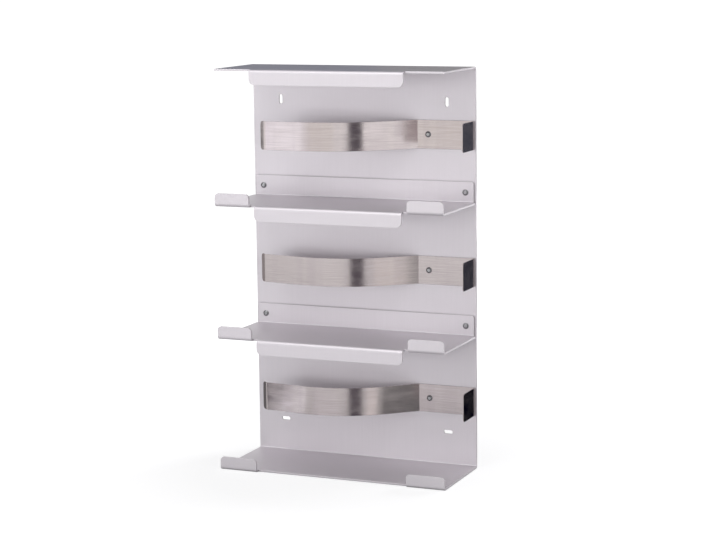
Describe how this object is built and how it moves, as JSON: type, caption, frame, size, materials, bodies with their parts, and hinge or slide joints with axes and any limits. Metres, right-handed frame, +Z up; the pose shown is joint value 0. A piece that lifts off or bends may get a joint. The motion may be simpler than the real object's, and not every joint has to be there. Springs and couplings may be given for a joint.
{
  "type": "disposable glove dispenser",
  "caption": "Open wall-mounted sheet-metal holder for stacked boxes of disposable gloves, with lipped shelves and a sprung metal strip at each level that pushes the box forward.",
  "frame": {"origin": "middle of the bounding box's base: under the holder, half way between the wall face and the front of its lips", "axes": "+Z up, +Y out of the back face towards the wall, +X to the right as seen from the front"},
  "size_m": [0.254, 0.1, 0.425],
  "materials": {
    "sheet": "matt silver anodised sheet",
    "spring_strip": "stainless spring steel, bright rolled along its length",
    "rivet": "plain"
  },
  "bodies": {
    "holder": {"holder_body": "sheet", "upper_shelf": "sheet", "lower_shelf": "sheet", "top_strap_rivet": "rivet", "middle_strap_rivet": "rivet", "bottom_strap_rivet": "rivet", "upper_shelf_left_rivet": "rivet", "upper_shelf_right_rivet": "rivet", "lower_shelf_left_rivet": "rivet", "lower_shelf_right_rivet": "rivet"},
    "top_spring": {"top_spring_strap": "spring_strip"},
    "middle_spring": {"middle_spring_strap": "spring_strip"},
    "bottom_spring": {"bottom_spring_strap": "spring_strip"}
  },
  "joints": [
    {"name": "top_spring_press", "type": "hinge", "parent": "holder", "child": "top_spring", "pos_m": [0.063, 0.0466, 0.354], "axis": [0, 0, -1], "range_deg": [0, 19.6], "stiffness_Nm_per_rad": 4.2, "deforming": ["top_spring_strap"]},
    {"name": "middle_spring_press", "type": "hinge", "parent": "holder", "child": "middle_spring", "pos_m": [0.063, 0.0466, 0.2105], "axis": [0, 0, -1], "range_deg": [0, 11.9], "stiffness_Nm_per_rad": 4.2, "deforming": ["middle_spring_strap"]},
    {"name": "bottom_spring_press", "type": "hinge", "parent": "holder", "child": "bottom_spring", "pos_m": [0.063, 0.0466, 0.0725], "axis": [0, 0, -1], "range_deg": [0, 15], "stiffness_Nm_per_rad": 4.2, "deforming": ["bottom_spring_strap"]}
  ]
}
